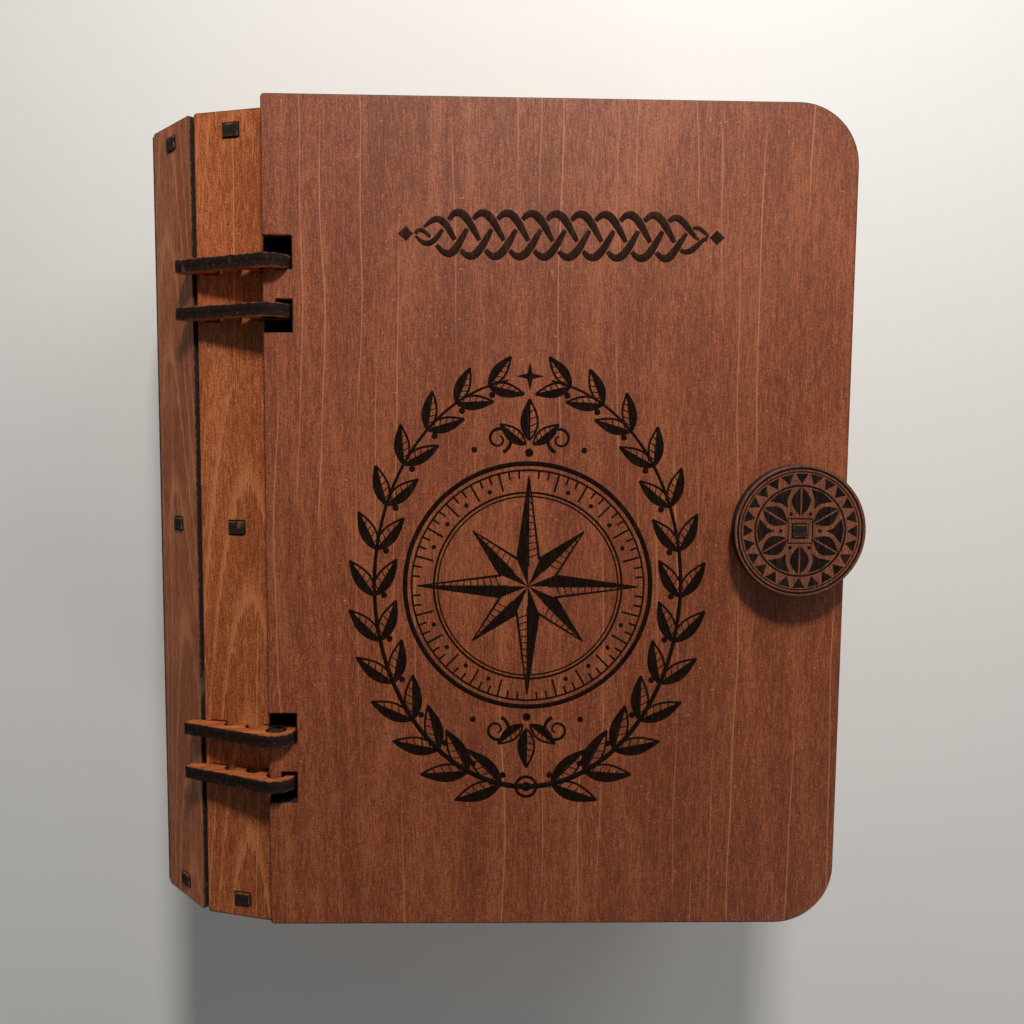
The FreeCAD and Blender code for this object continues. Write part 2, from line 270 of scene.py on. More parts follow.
grain_group = build_grain()
print("group:", grain_group.name, "nodes:", len(grain_group.nodes))

# %% [markdown]
# A laser burns its way through plywood. The cut walls are charred nearly black,
# a thin scorched rim and a breath of smoke show on the face round every outline
# and slot, and handling rubs the sharp corners of the char back to brown; that
# lighter brown on the corners is partly a painted highlight. The group finds the
# walls by comparing the surface's own direction with the board's. It finds
# corners with Bevel nodes, which tell how near the next corner lies, and hands on
# their softened normal, so that worn corners catch the light.

# %% Laser-cut edge group

# Radius of the Bevel in mm, its samples, and the change of direction at full strength.
EDGE_REACH = {"Corner": (0.55, 8, 0.08), "Smoke": (1.40, 4, 0.30)}


def build_cut_edge():
    """Group: Wall is 1 on cut walls, Corner and Smoke rise towards an edge, Depth is 1 at the faces."""
    group, given, result = new_group(
        "laser cut edge",
        {"Board normal": "Vector", "Middle": "Float", "Thickness": "Float"},
        {"Wall": "Float", "Corner": "Float", "Smoke": "Float", "Depth": "Float", "Worn normal": "Vector"})
    where = add(group, "TexCoord")
    flat = maths(group, "ABSOLUTE", length_along(group, where.outputs["Normal"], given["Board normal"]))
    group.links.new(maths(group, "LESS_THAN", flat, 0.5), result["Wall"])
    shape = add(group, "NewGeometry")
    for mask, (radius, samples, full) in EDGE_REACH.items():
        rounded = add(group, "Bevel", {"Radius": radius * MM}, samples=samples)
        alike = length_along(group, rounded.outputs[0], shape.outputs["Normal"])
        group.links.new(band(group, maths(group, "SUBTRACT", 1.0, alike), 0.0, full), result[mask])
        if mask == "Corner":
            group.links.new(rounded.outputs[0], result["Worn normal"])
    level = length_along(group, where.outputs["Object"], given["Board normal"])
    off_middle = maths(group, "ABSOLUTE", maths(group, "SUBTRACT", level, given["Middle"]))
    half = maths(group, "MULTIPLY", given["Thickness"], 0.5)
    group.links.new(maths(group, "DIVIDE", off_middle, half, clamp=True), result["Depth"])
    return group


edge_group = build_cut_edge()
print("group:", edge_group.name, "nodes:", len(edge_group.nodes))

# %% [markdown]
# One function dresses any board. It needs the direction of the board's broad
# face, its mid-plane and the direction of its grain, and it reads the first two
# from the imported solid, so no board is described twice. Each board samples the
# wood at another place, as boards cut from different parts of a sheet do.

# %% Board facts


def broad_normal(name):
    """Direction of a board's broad face: the one with the most area."""
    areas = {}
    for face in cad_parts[name].data.polygons:
        direction = tuple(round(part, 3) for part in face.normal)
        areas[direction] = areas.get(direction, 0.0) + face.area
    return Vector(max(areas, key=areas.get)).normalized()


def board_facts(name):
    """(normal, mid-plane's distance from the origin, thickness) of a board, in metres."""
    normal = broad_normal(name)
    levels = [vertex.co.dot(normal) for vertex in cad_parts[name].data.vertices]
    return normal, (min(levels) + max(levels)) / 2, max(levels) - min(levels)


for name in ("front_cover", "spine_slat_1", "hinge_strap_1"):
    print(name, [round(part, 3) for part in board_facts(name)[0]])

# %% [markdown]
# The stain is warm and reddish. A tone is four colours: the dark, middle and
# light parts of the grain, and its pale lines. The covers took a little more red
# than the slats, and the small latch pieces were engraved all over, so that
# smoke has dulled them.

# %% Wood tones

COVER_TONE = (colour(94, 42, 20), colour(120, 59, 31), colour(148, 83, 50), colour(184, 123, 86))
SLAT_TONE = (colour(119, 57, 26), colour(152, 79, 40), colour(186, 112, 68), colour(208, 142, 96))
CASE_TONE = (colour(94, 43, 20), colour(123, 61, 31), colour(151, 87, 51), colour(178, 117, 78))
LATCH_TONE = (colour(80, 42, 27), colour(109, 61, 40), colour(138, 85, 58), colour(160, 108, 78))
CHAR = colour(25, 14, 12)
CHAR_BROWN = colour(46, 30, 23)
# Lighter brown of scratches and worn corners; on the corners it is also a painted highlight.
WORN_BROWN_AND_HIGHLIGHT = colour(136, 104, 76)
SCORCH = colour(40, 21, 13)
print("tones chosen")

# %% [markdown]
# On the broad faces the tone picks a colour, pores darken it, pale lines lighten
# it, and the scorched rim creeps in from each outline. On the walls the outer
# plies show a little browner in the char, in patches, and worn corners and
# scratches lighten it; on the corners that lighter brown is also a painted
# highlight.

# %% Face and char colours

# Where on the tone the dark, middle and light colours stand.
TONE_STOPS = (0.18, 0.5, 0.86)
# How strongly each mark colours the face or the cut wall.
ON_FACE = {"pores": 0.35, "lines": 0.5, "smoke": 0.45, "rim": 0.75}
ON_WALL = {"outer plies": 0.35, "worn and highlit corners": 0.6, "scratches": 0.35}
SMOKE_PUFF_STEP = (0.45, 0.7)
OUTER_PLY_STEP = (0.30, 0.36)
BROWN_PATCH_STEP = (0.5, 0.75)
# Where the corners are worn and painted lighter as a highlight.
WORN_AND_HIGHLIT_PLACES_STEP = (0.38, 0.62)


def face_colour(tree, tone, grain, edge, place):
    """Colour of a board's broad faces."""
    ramp = add(tree, "ValToRGB", {"Fac": grain.outputs["Tone"]})
    stops = ramp.color_ramp.elements
    stops[0].position, stops[0].color = TONE_STOPS[0], tone[0]
    stops[1].position, stops[1].color = TONE_STOPS[2], tone[2]
    stops.new(TONE_STOPS[1]).color = tone[1]
    pores = maths(tree, "MULTIPLY", grain.outputs["Pores"], ON_FACE["pores"])
    face = blend(tree, pores, ramp.outputs[0], tone[0])
    face = blend(tree, maths(tree, "MULTIPLY", grain.outputs["Lines"], ON_FACE["lines"]), face, tone[3])
    puff = add(tree, "TexNoise", {"Vector": place, "Scale": 160.0, "Detail": 3.0})
    puffs = band(tree, puff.outputs["Fac"], *SMOKE_PUFF_STEP)
    smoke = maths(tree, "MULTIPLY", edge.outputs["Smoke"], puffs)
    face = blend(tree, maths(tree, "MULTIPLY", smoke, ON_FACE["smoke"]), face, SCORCH)
    return blend(tree, maths(tree, "MULTIPLY", edge.outputs["Corner"], ON_FACE["rim"]), face, SCORCH)


def char_colour(tree, grain, edge, cloud):
    """Colour of a board's cut walls, with a painted highlight on the worn corners."""
    outer_ply = band(tree, edge.outputs["Depth"], *OUTER_PLY_STEP)
    burnt = blend(tree, maths(tree, "MULTIPLY", outer_ply, ON_WALL["outer plies"]), CHAR, CHAR_BROWN)
    burnt = blend(tree, band(tree, cloud, *BROWN_PATCH_STEP), burnt, CHAR_BROWN)
    # Worn corners in patches, painted lighter: wear and a painted highlight together.
    worn_and_highlit = maths(tree, "MULTIPLY", edge.outputs["Corner"], band(tree, cloud, *WORN_AND_HIGHLIT_PLACES_STEP))
    burnt = blend(tree, maths(tree, "MULTIPLY", worn_and_highlit, ON_WALL["worn and highlit corners"]), burnt, WORN_BROWN_AND_HIGHLIGHT)
    return blend(tree, maths(tree, "MULTIPLY", grain.outputs["Lines"], ON_WALL["scratches"]), burnt, WORN_BROWN_AND_HIGHLIGHT)


print("face and char colours ready")

# %% [markdown]
# The board material feeds the two groups with one board's facts and lets the
# wall mask choose between face and char. Light grain is a little smoother than
# dark, char is rough, and a slight bump gives the fibres their sheen.

# %% Board material

# A board's offset moves its place in the wood by different amounts along X, Y and Z.
OFFSET_STEPS = (0.37, 0.61, 0.23)
# Roughness at a tone or cloud of 0, and how much it changes by 1.
FACE_ROUGHNESS = (0.62, -0.16)
CHAR_ROUGHNESS = (1.0, -0.2)


def board_material(name, tone, along="Y", figure=0.22, flames=0.0, blotches=0.5, offset=0.0, gloss=0.25):
    """Stained, laser-cut plywood for one board, with its grain along X or Y."""
    material = bpy.data.materials.new("stained plywood " + name)
    material.use_nodes = True
    tree = material.node_tree
    shader = tree.nodes["Principled BSDF"]
    normal, middle, thickness = board_facts(name)
    turn = radians(90) if along == "X" else 0.0
    across = normal.cross(Vector((1, 0, 0) if along == "X" else (0, 1, 0)))
    place = add(tree, "TexCoord").outputs["Object"]
    shift = [offset * step for step in OFFSET_STEPS]
    mapped = add(tree, "Mapping", {"Vector": place, "Location": shift, "Rotation": (0, 0, turn)})
    across_grain = Matrix.Rotation(turn, 3, "Z") @ across
    sides = [vertex.co.dot(across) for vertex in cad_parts[name].data.vertices]
    centre_line = (min(sides) + max(sides)) / 2 + Vector(shift).dot(across_grain)
    grain = add(tree, "Group", node_tree=grain_group)
    for socket, value in (("Across", across_grain), ("Centre line", centre_line), ("Figure", figure),
                          ("Flames", flames), ("Blotches", blotches)):
        grain.inputs[socket].default_value = value
    tree.links.new(mapped.outputs[0], grain.inputs["Place"])
    edge = add(tree, "Group", node_tree=edge_group)
    for socket, value in (("Board normal", normal), ("Middle", middle), ("Thickness", thickness)):
        edge.inputs[socket].default_value = value
    cloud = add(tree, "TexNoise", {"Vector": place, "Scale": 900.0, "Detail": 3.0}).outputs["Fac"]
    face = face_colour(tree, tone, grain, edge, place)
    burnt = char_colour(tree, grain, edge, cloud)
    tree.links.new(blend(tree, edge.outputs["Wall"], face, burnt), shader.inputs["Base Color"])
    sheen = maths(tree, "MULTIPLY_ADD", grain.outputs["Tone"], FACE_ROUGHNESS[1], FACE_ROUGHNESS[0])
    char_rough = maths(tree, "MULTIPLY_ADD", cloud, CHAR_ROUGHNESS[1], CHAR_ROUGHNESS[0])
    rough = add(tree, "Mix", {0: edge.outputs["Wall"], 2: sheen, 3: char_rough}).outputs[0]
    tree.links.new(rough, shader.inputs["Roughness"])
    shader.inputs["Specular IOR Level"].default_value = gloss
    bump = add(tree, "Bump", {"Height": grain.outputs["Height"], "Normal": edge.outputs["Worn normal"],
                              "Strength": 0.45, "Distance": 0.05 * MM})
    tree.links.new(bump.outputs[0], shader.inputs["Normal"])
    return material


def dress(name, tone, **wood):
    """Give a board of the frame its own stained plywood."""
    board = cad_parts[name]
    board.data.materials.clear()
    board.data.materials.append(board_material(name, tone, **wood))


print("board material ready")

# %% [markdown]
# Now every board gets its wood. The covers, slats and side walls have their
# grain from head to foot; the three plates and the straps have it across. Only
# the slats show flames: they come from a livelier sheet than the quiet covers.

# %% Dress the boards

PLATES = ("foot_plate", "middle_plate", "head_plate")
WALLS = ("fore_edge_wall", "spine_wall")
LATCH_PIECES = ("latch_spacer", "latch_disc", "latch_washer", "latch_cam", "latch_shaft")

# The offsets have no meaning of their own: they only differ from board to board.
dress("front_cover", COVER_TONE, figure=0.16, blotches=0.45, offset=0.10, gloss=0.35)
dress("back_cover", COVER_TONE, figure=0.25, offset=0.73)
for index in range(6):
    dress("spine_slat_%d" % (index + 1), SLAT_TONE, figure=0.15, flames=0.42, blotches=0.4,
          offset=1.24 + 0.54 * index)
for index, name in enumerate(PLATES):
    dress(name, CASE_TONE, along="X", offset=2.9 + 0.53 * index)
for index, name in enumerate(WALLS):
    dress(name, CASE_TONE, offset=4.7 + 0.59 * index)
for index in range(4):
    dress("hinge_strap_%d" % (index + 1), SLAT_TONE, along="X", offset=5.9 + 0.31 * index, gloss=0.1)
for index, name in enumerate(LATCH_PIECES):
    dress(name, LATCH_TONE, figure=0.1, offset=7.7 + 0.43 * index)
print("dressed:", len(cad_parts))

# %% [markdown]
# Engraving is a drawing burnt into the face. Here it is real geometry: every
# line is a curve with a radius at each point, so that it swells and tapers like
# a pen stroke, and every dark shape is a filled outline. Both are turned into
# thin plates of char that lie on the board. Where lines and shapes cross, each
# lies a thousandth of a millimetre higher or lower than the next.

# %% Engraving helpers

INK_HEIGHT = 0.03
INK_SEAT = 0.01
LEVEL_STEP = 0.001
STROKE_LEVELS = 8
FILL_LEVELS = 5


def as_mesh(curve):
    """The mesh of a curve, which is then thrown away."""
    holder = bpy.data.objects.new(curve.name, curve)
    bpy.context.scene.collection.objects.link(holder)
    bpy.context.view_layer.update()
    mesh = bpy.data.meshes.new_from_object(holder.evaluated_get(bpy.context.evaluated_depsgraph_get()))
    bpy.data.objects.remove(holder)
    bpy.data.curves.remove(curve)
    return mesh


def stroke_mesh(strokes):
    """Flat ribbons along strokes of (x, y, width) in millimetres, at slightly different levels."""
    curve = bpy.data.curves.new("strokes", "CURVE")
    curve.dimensions = "3D"
    curve.twist_mode = "Z_UP"
    curve.extrude = MM / 2
    curve.bevel_depth = INK_HEIGHT * MM / 2
    curve.bevel_resolution = 0
    curve.use_fill_caps = True
    for order, stroke in enumerate(strokes):
        line = curve.splines.new("POLY")
        line.points.add(len(stroke) - 1)
        level = LEVEL_STEP * (order % STROKE_LEVELS) * MM
        for point, (x, y, width) in zip(line.points, stroke):
            point.co = (x * MM, y * MM, level, 1)
            point.radius = width
            point.tilt = pi / 2
    return as_mesh(curve)


def fill_mesh(outline):
    """Thin plate with the given outline, in millimetres."""
    curve = bpy.data.curves.new("fill", "CURVE")
    curve.dimensions = "2D"
    curve.fill_mode = "BOTH"
    curve.extrude = INK_HEIGHT * MM / 2
    line = curve.splines.new("POLY")
    line.points.add(len(outline) - 1)
    line.use_cyclic_u = True
    for point, (x, y) in zip(line.points, outline):
        point.co = (x * MM, y * MM, 0, 1)
    return as_mesh(curve)


def engrave(name, strokes, outlines, centre, body, material):
    """Lay strokes and shapes as one piece into the face round centre."""
    form = bmesh.new()
    form.from_mesh(stroke_mesh(strokes))
    for order, outline in enumerate(outlines):
        seen = set(form.verts)
        form.from_mesh(fill_mesh(outline))
        fresh = [corner for corner in form.verts if corner not in seen]
        drop = LEVEL_STEP * (1 + order % FILL_LEVELS) * MM
        bmesh.ops.translate(form, verts=fresh, vec=Vector((0, 0, -drop)))
    lift = Vector((0, 0, (INK_SEAT + INK_HEIGHT / 2) * MM))
    bmesh.ops.translate(form, verts=form.verts, vec=centre + lift)
    mesh = bpy.data.meshes.new(name)
    form.to_mesh(mesh)
    form.free()
    piece = bpy.data.objects.new(name, mesh)
    bpy.context.scene.collection.objects.link(piece)
    mesh.materials.append(material)
    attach(piece, body)
    print(name, "faces:", len(mesh.polygons))
    return piece


# %% [markdown]
# The burnt lines are a dark, dead matt brown. Where the beam ran faster the
# wood is only toasted, so a soft noise lets a warmer brown through. The braid's
# browns are lighter than the others: a painted sheen from the light at the head.

# %% Burnt line material


def burnt_material(name, dark, warm):
    """Char of an engraved line."""
    material = bpy.data.materials.new(name)
    material.use_nodes = True
    tree = material.node_tree
    shader = tree.nodes["Principled BSDF"]
    where = add(tree, "TexCoord")
    fine = stretched_noise(tree, where.outputs["Object"], 1700, 260, 3)
    tree.links.new(blend(tree, band(tree, fine, 0.42, 0.78), dark, warm), shader.inputs["Base Color"])
    rough = maths(tree, "MULTIPLY_ADD", fine, 0.12, 0.8)
    tree.links.new(rough, shader.inputs["Roughness"])
    shader.inputs["Specular IOR Level"].default_value = 0.05
    bump = add(tree, "Bump", {"Height": fine, "Strength": 0.3, "Distance": 0.05 * MM})
    tree.links.new(bump.outputs[0], shader.inputs["Normal"])
    return material


cover_ink = burnt_material("burnt line on the cover", colour(18, 9, 5), colour(38, 23, 15))
# The braid's lighter browns are a painted sheen of the light at the head.
braid_ink_with_sheen = burnt_material("burnt line of the braid with painted sheen", colour(36, 21, 15), colour(60, 38, 27))
disc_ink = burnt_material("burnt line on the disc", colour(23, 15, 13), colour(46, 32, 27))
print("burnt lines ready")

# %% [markdown]
# The simplest marks come first: a ring, a straight tick and a dot. A ring is a
# closed run of points on a circle, drawn with one point more than it needs, so
# that its two ends overlap.

# %% Simple marks


def ring(radius, width, centre=(0, 0), steps=120):
    """A circle as one stroke."""
    turns = [2 * pi * step / steps for step in range(steps + 1)]
    return [(centre[0] + radius * cos(turn), centre[1] + radius * sin(turn), width) for turn in turns]


def polar(radius, turn, centre=(0, 0)):
    """The point at a radius and an angle in degrees."""
    return centre[0] + radius * cos(radians(turn)), centre[1] + radius * sin(radians(turn))


def line(start, end, width, end_width=None):
    """A straight stroke that may taper."""
    return [(*start, width), (*end, width if end_width is None else end_width)]


def dot(centre, radius, steps=16):
    """A filled round dot."""
    return [polar(radius, 360 * step / steps, centre) for step in range(steps)]


print("a ring has", len(ring(1, 1)), "points")

# %% [markdown]
# A compass rose is an old ornament of maps and book covers. Each ray is a long
# kite split down the middle, with one half dark and the other half hatched, so
# that the flat star looks like a cut stone. The short rays are drawn first and
# stop where the long ones cover them.

# %% Compass rose

# Widths at the near and the far end of a ray's edges, its middle line and its hatching.
RAY_EDGE = (0.6, 0.3)
RAY_MIDDLE = (0.45, 0.25)
HATCH_LINE = (0.3, 0.18)
# The share of a ray's side that the hatching covers.
HATCH_REACH = 0.92


def ray(turn, length, waist, spread, hatches):
    """One ray of the star: (strokes, fills). waist and spread place its two shoulders."""
    tip = polar(length, turn)
    left = polar(waist, turn + spread)
    right = polar(waist, turn - spread)
    heart = (0.0, 0.0)
    strokes = [line(side, tip, *RAY_EDGE) for side in (left, right)]
    strokes.append(line(polar(waist * 0.7, turn), tip, *RAY_MIDDLE))
    start = waist * 0.75
    for step in range(hatches):
        share = (step + 1.0) / (hatches + 1.5)
        on_spine = polar(start + (length - start) * share, turn)
        reach = share * HATCH_REACH
        on_side = (right[0] + (tip[0] - right[0]) * reach, right[1] + (tip[1] - right[1]) * reach)
        strokes.append(line(on_spine, on_side, *HATCH_LINE))
    return strokes, [[heart, left, tip]]


# Turn from a quarter, length, waist and spread of the shoulders, hatches.
ROSE_RAYS = ((45, 19.0, 7.4, 22.5, 6), (0, 26.8, 7.0, 22.5, 11))
ROSE_RINGS = ((29.8, 1.1), (28.2, 0.45), (22.8, 0.5), (21.9, 0.35))
TICK_END = 28.1
LONG_TICK_START = 23.8
SHORT_TICK_START = 26.2
TICK_LINE = 0.45
# Radius on which the dots stand, and their own.
ROSE_DOTS = (24.7, 0.55)


def compass_rose():
    """Star, graduated rings and dots, which leave room for the tips of the long rays."""
    strokes = []
    fills = []
    for quarter in range(4):
        for turn, length, waist, spread, hatches in ROSE_RAYS:
            more, dark = ray(90 * quarter + turn, length, waist, spread, hatches)
            strokes += more
            fills += dark
    strokes += [ring(radius, width) for radius, width in ROSE_RINGS]
    for step in range(72):
        turn = 5 * step
        start = LONG_TICK_START if step % 3 == 0 else SHORT_TICK_START
        if turn % 90:
            strokes.append(line(polar(start, turn), polar(TICK_END, turn), TICK_LINE))
    for step in range(24):
        turn = 15 * step + 7.5
        if 8 < turn % 90 < 82:
            fills.append(dot(polar(ROSE_DOTS[0], turn), ROSE_DOTS[1]))
    return strokes, fills


rose_strokes, rose_fills = compass_rose()
print("rose strokes:", len(rose_strokes), "fills:", len(rose_fills))

# %% [markdown]
# A wreath of laurel frames the rose. A stem runs up each side, and leaves stand
# on it in pairs, shorter towards the tip. Every leaf is two bowed edges and a
# midrib; one half is dark and the other has fine veins.

# %% Leaves

LEAF_LINE = 0.5


def leaf(base, turn, length, width, dark_side, steps=12):
    """A laurel leaf as (strokes, fills), from its base along an angle in degrees."""
    along = Vector((cos(radians(turn)), sin(radians(turn))))
    across = Vector((-along.y, along.x))
    root = Vector(base)
    spine = [root + along * (length * step / steps) for step in range(steps + 1)]
    bulge = [width / 2 * sin(pi * (step / steps) ** 0.85) for step in range(steps + 1)]
    sides = {}
    strokes = []
    for side in (1, -1):
        sides[side] = [point + across * (side * reach) for point, reach in zip(spine, bulge)]
        strokes.append([(point.x, point.y, LEAF_LINE) for point in sides[side]])
    strokes.append([(point.x, point.y, 0.8 * LEAF_LINE) for point in spine])
    for step in range(2, steps - 1, 2):
        end = sides[-dark_side][step + 1]
        strokes.append(line(spine[step], end, 0.55 * LEAF_LINE, 0.35 * LEAF_LINE))
    inner = [point + across * (dark_side * reach * 0.12) for point, reach in zip(spine, bulge)]
    fill = [tuple(point) for point in inner] + [tuple(point) for point in reversed(sides[dark_side])]
    return strokes, [fill]


one_leaf = leaf((0, 0), 90, 10, 4, 1)
print("strokes in a leaf:", len(one_leaf[0]))

# %% [markdown]
# The stems follow an ellipse. Their feet meet under a small round boss, a berry
# sits beside every pair of leaves, and a small star stands where their tips
# nearly meet at the head.

# %% Laurel wreath

STEM_LINE = 1.3
STEM_THINNING = 0.8
LEAF_LENGTH = 12.2
LEAF_SHORTENING = 3.6
LEAF_SLIMNESS = 0.36
LEAF_SPREAD = 33
# Distance of a berry from the stem, and its radius.
BERRY = (2.3, 0.75)
# Outer and inner radius of the small star.
STAR = (3.4, 0.9)


def laurel_wreath(half_width, half_height, leaves=13):
    """Two leafy stems that follow an ellipse from its foot to its head."""
    strokes = []
    fills = []
    for side in (1, -1):
        stem = []
        for step in range(61):
            share = step / 60
            turn = radians(-92 + 174 * share)
            weight = STEM_LINE - STEM_THINNING * share
            stem.append((side * half_width * cos(turn), half_height * sin(turn), weight))
        strokes.append(stem)
        for index in range(leaves):
            share = (index + 0.75) / leaves
            turn = radians(-90 + 168 * share)
            base = (side * half_width * cos(turn), half_height * sin(turn))
            slope = (-side * half_width * sin(turn), half_height * cos(turn))
            heading = degrees(atan2(slope[1], slope[0]))
            size = LEAF_LENGTH - LEAF_SHORTENING * share
            for way in (1, -1):
                more, dark = leaf(base, heading + way * LEAF_SPREAD, size, size * LEAF_SLIMNESS, way)
                strokes += more
                fills += dark
            fills.append(dot(polar(BERRY[0], heading + side * 90, base), BERRY[1], 14))
    foot = (0, -half_height)
    head = (0, half_height + 0.6)
    strokes.append(ring(2.5, 0.7, foot, 32))
    fills.append(dot(foot, 1.2, 20))
    fills.append([polar(STAR[step % 2], 45 * step + 90, head) for step in range(8)])
    return strokes, fills


wreath_strokes, wreath_fills = laurel_wreath(half_width=37.2, half_height=50.0)
print("wreath strokes:", len(wreath_strokes), "fills:", len(wreath_fills))

# %% [markdown]
# Between the round rose and the tall wreath there is room above and below for a
# fleuron: three leaves over a pair of scrolls. A scroll is a spiral whose line
# thins as it curls in, drawn once and mirrored four times.

# %% Fleurons


def scroll(side, up):
    """A spiral that starts at the middle line and curls outwards."""
    points = []
    for step in range(41):
        share = step / 40
        turn = radians(-70 + 500 * share)
        radius = 3.3 * (1 - 0.78 * share)
        x = 7.4 - radius * cos(turn)
        y = 35.6 + radius * sin(turn)
        points.append((side * x, up * y, 0.85 - 0.45 * share))
    return points


def fleurons():
    """The same ornament above and below the rose."""
    strokes = []
    fills = []
    for up in (1, -1):
        for lean, length in ((0, 9.8), (52, 7.8), (-52, 7.8)):
            way = -1 if lean < 0 else 1
            base = (-0.9 * sin(radians(lean)) / 0.79, up * (34.4 if lean else 35.4))
            more, dark = leaf(base, up * (90 + lean), length, length * 0.40, way * up)
            strokes += more
            fills += dark
        strokes += [scroll(1, up), scroll(-1, up)]
        fills += [dot((side * 13.2, up * 33.0), 0.7, 14) for side in (1, -1)]
        fills.append(dot((0, up * 32.4), 1.0, 16))
    return strokes, fills


fleuron_strokes, fleuron_fills = fleurons()
print("fleuron strokes:", len(fleuron_strokes))

# %% [markdown]
# The rose, the wreath and the fleurons are one engraving. It sits a little to
# the spine side of the cover's middle and a little towards the foot, where the
# cover is plainest, and it is placed from the cover's own box.

# %% Engrave the cover

cover_low, cover_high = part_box("front_cover")
cover_face = Vector(((cover_low.x + cover_high.x) / 2, (cover_low.y + cover_high.y) / 2, cover_high.z))
medallion_centre = cover_face + Vector((-7.0, -14.9, 0)) * MM
engrave("compass_and_laurel", rose_strokes + wreath_strokes + fleuron_strokes,
        rose_fills + wreath_fills + fleuron_fills, medallion_centre, "cover", cover_ink)

# %% [markdown]
# Above it runs a braid of three strands, an ornament as old as weaving. Every
# strand is a sine wave a third of a turn behind the last. A strand coming in
# from the edge passes over, and one going out passes under, so each stroke is
# simply broken where its wave is at 30 and at 210 degrees. Near its ends the
# braid narrows and its strands run out to a point, with a small lozenge beyond.

# %% Braid band

# The length in mm over which the braid narrows towards its ends.
BRAID_TAPER = 9


def braid(half_length, half_height, waves, weight, gap):
    """Strokes of a three-strand braid along X; gap is in degrees of a wave."""
    strokes = []
    length = 2 * half_length / waves
    for strand in range(3):
        for wave in range(-1, waves + 2):
            for low in (30, 210):
                piece = []
                for step in range(25):
                    share = step / 24
                    phase = 360 * wave + low + gap + (180 - 2 * gap) * share
                    x = -half_length + (phase / 360 - strand / 3) * length
                    if abs(x) <= half_length:
                        narrow = min(1.0, (half_length - abs(x)) / BRAID_TAPER) ** 0.6
                        swell = (0.55 + 0.45 * sin(pi * share)) * (0.35 + 0.65 * narrow)
                        piece.append((x, half_height * narrow * sin(radians(phase)), weight * swell))
                if len(piece) > 2:
                    strokes.append(piece)
    return strokes


braid_centre = cover_face + Vector((0.2, 68.6, 0)) * MM
braid_strokes = braid(half_length=34.6, half_height=5.0, waves=4, weight=1.85, gap=15)
braid_fills = []
for side in (1, -1):
    braid_fills.append([(side * 38.6, 0), (side * 36.7, 1.7), (side * 35.0, 0), (side * 36.7, -1.7)])
engrave("braid_band", braid_strokes, braid_fills, braid_centre, "cover", braid_ink_with_sheen)

# %% [markdown]
# The disc carries a chip-carved rosette: six dark petals, small chips between
# them, and a border of triangles, with a square line round the end of the
# shaft. Such rosettes are drawn with a pair of compasses that never changes its
# opening.

# %% Engrave the disc

# Radius and line width of the rings, then the half side and line width of the square.
DISC_RINGS = ((14.8, 0.5), (14.0, 0.28), (10.7, 0.45))
DISC_SQUARE = (2.9, 0.35)


def petal(turn, start, length, width):
    """Two dark halves on each side of a bare midrib."""
    along = Vector((cos(radians(turn)), sin(radians(turn))))
    across = Vector((-along.y, along.x))
    halves = []
    for side in (1, -1):
        near = []
        far = []
        for step in range(13):
            share = step / 12
            spine = along * (start + length * share)
            reach = width / 2 * sin(pi * share)
            near.append(tuple(spine + across * (side * (0.16 + 0.02 * reach))))
            far.append(tuple(spine + across * (side * (0.17 + reach))))
        halves.append(near + far[::-1])
    return halves


def rosette():
    """Petals, chips, border and square of the disc: (strokes, fills)."""
    strokes = [ring(radius, width) for radius, width in DISC_RINGS]
    fills = []
    for step in range(24):
        turn = 15 * step
        fills.append([polar(13.6, turn - 6.3), polar(13.6, turn + 6.3), polar(11.1, turn)])
    for step in range(6):
        turn = 60 * step + 30
        fills += petal(turn, 3.6, 6.8, 4.2)
        chip = turn + 30
        fills.append([polar(10.2, chip - 17), polar(10.35, chip), polar(10.2, chip + 17),
                      polar(7.9, chip + 5), polar(6.1, chip), polar(7.9, chip - 5)])
        fills.append(dot(polar(4.6, chip), 0.45, 12))
    half, width = DISC_SQUARE
    corners = [(half, half), (-half, half), (-half, -half), (half, -half), (half, half)]
    strokes.append([(x, y, width) for x, y in corners])
    return strokes, fills


disc_low, disc_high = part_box("latch_disc")
disc_face = Vector(((disc_low.x + disc_high.x) / 2, (disc_low.y + disc_high.y) / 2, disc_high.z))
disc_strokes, disc_fills = rosette()
engrave("disc_rosette", disc_strokes, disc_fills, disc_face, "latch", disc_ink)

# %% [markdown]
# The stage is a plain pale floor. The box lies on it, so the floor's top is the
# height of the lowest board.

# %% Floor


def floor_material():
    """Matt, nearly even, pale grey."""
    material = bpy.data.materials.new("pale floor")
    material.use_nodes = True
    tree = material.node_tree
    shader = tree.nodes["Principled BSDF"]
    where = add(tree, "TexCoord")
    soft = add(tree, "TexNoise", {"Vector": where.outputs["Object"], "Scale": 6.0, "Detail": 4.0})
    tree.links.new(blend(tree, soft.outputs["Fac"], colour(214, 213, 210), colour(222, 221, 218)),
                   shader.inputs["Base Color"])
    shader.inputs["Roughness"].default_value = 0.9
    return material


floor_form = bmesh.new()
bmesh.ops.create_grid(floor_form, x_segments=1, y_segments=1, size=3.0)
floor_mesh = bpy.data.meshes.new("floor")
floor_form.to_mesh(floor_mesh)
floor_form.free()
floor = bpy.data.objects.new("floor", floor_mesh)
bpy.context.scene.collection.objects.link(floor)
floor_mesh.materials.append(floor_material())
floor.location.z = cad_box[0].z
print("floor at", round(cad_box[0].z, 4))

# %% [markdown]
# Two soft lamps stand beyond the head of the book: a small strong one in the
# middle, and a wider, weaker one towards the fore edge. They throw the short
# shadows under the straps and the disc. A broad low lamp far out at the foot
# keeps the walls of the case from going dark and only grazes the cover. An even
# pale world fills the rest, as white walls would.

# %% Light

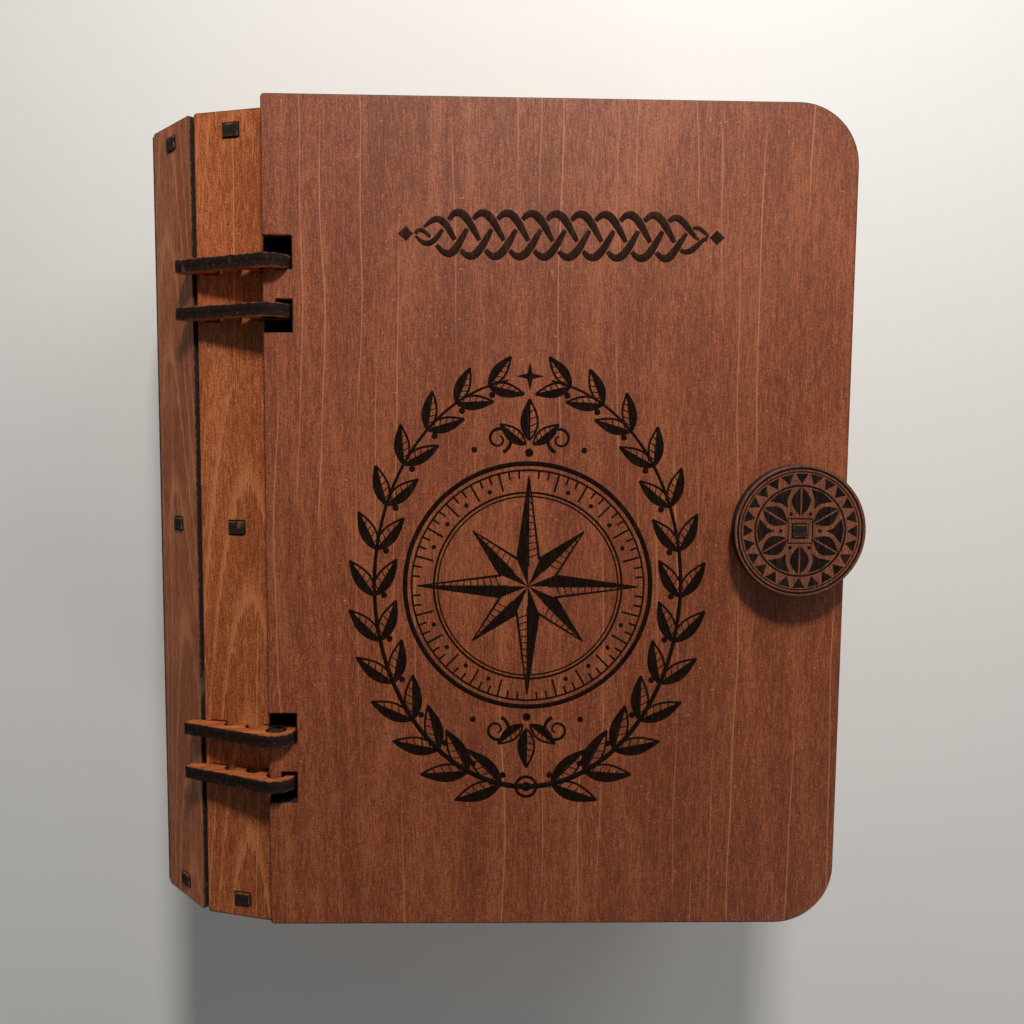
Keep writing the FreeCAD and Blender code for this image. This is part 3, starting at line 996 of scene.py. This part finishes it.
# Place seen from the middle of the cover in mm, size in metres, watts.
LAMPS = {
    "window": ((17, 419, 321), 0.07, 3.0),
    "second window": ((300, 450, 240), 0.30, 0.95),
    "low lamp": ((700, -800, 150), 0.40, 3.5),
}
LAMP_COLOUR = (1.0, 0.97, 0.93)
ROOM_COLOUR = (0.93, 0.94, 0.96, 1.0)
ROOM_STRENGTH = 0.15


def lamp(name, from_cover, size, watts):
    """A square soft lamp that faces the middle of the cover."""
    data = bpy.data.lights.new(name, "AREA")
    data.size = size
    data.energy = watts
    data.color = LAMP_COLOUR
    made = bpy.data.objects.new(name, data)
    bpy.context.scene.collection.objects.link(made)
    made.location = cover_face + from_cover
    made.rotation_mode = "QUATERNION"
    made.rotation_quaternion = from_cover.to_track_quat("Z", "Y")
    made.visible_camera = False


for name, (place, size, watts) in LAMPS.items():
    lamp(name, Vector(place) * MM, size, watts)
world = bpy.data.worlds.new("pale room")
world.use_nodes = True
background = world.node_tree.nodes["Background"]
background.inputs["Color"].default_value = ROOM_COLOUR
background.inputs["Strength"].default_value = ROOM_STRENGTH
bpy.context.scene.world = world
bpy.context.scene.view_settings.view_transform = "Standard"
print("lamps:", len(bpy.data.lights))

# %% [markdown]
# The camera looks almost straight down from about 20 cm above the cover, turned
# from the upright by less than five degrees, so the cover shows square-on while
# the slats of the spine fall away to the left.

# %% Camera

CAMERA_FROM_COVER = Vector((-15.466, 19.152, 207.957)) * MM
# Axis of the turn; its length is the angle in degrees.
CAMERA_TURN = Vector((4.395, 1.202, -0.443))
LENS = 30.40

camera_data = bpy.data.cameras.new("camera")
camera_data.lens = LENS
camera_data.sensor_width = 36.0
camera_data.clip_start = 0.01
camera = bpy.data.objects.new("camera", camera_data)
bpy.context.scene.collection.objects.link(camera)
camera.matrix_world = (Matrix.Translation(cover_face + CAMERA_FROM_COVER)
                       @ Matrix.Rotation(-radians(CAMERA_TURN.length), 4, CAMERA_TURN))
bpy.context.scene.camera = camera
print("camera height:", round(camera.matrix_world.translation.z, 4))
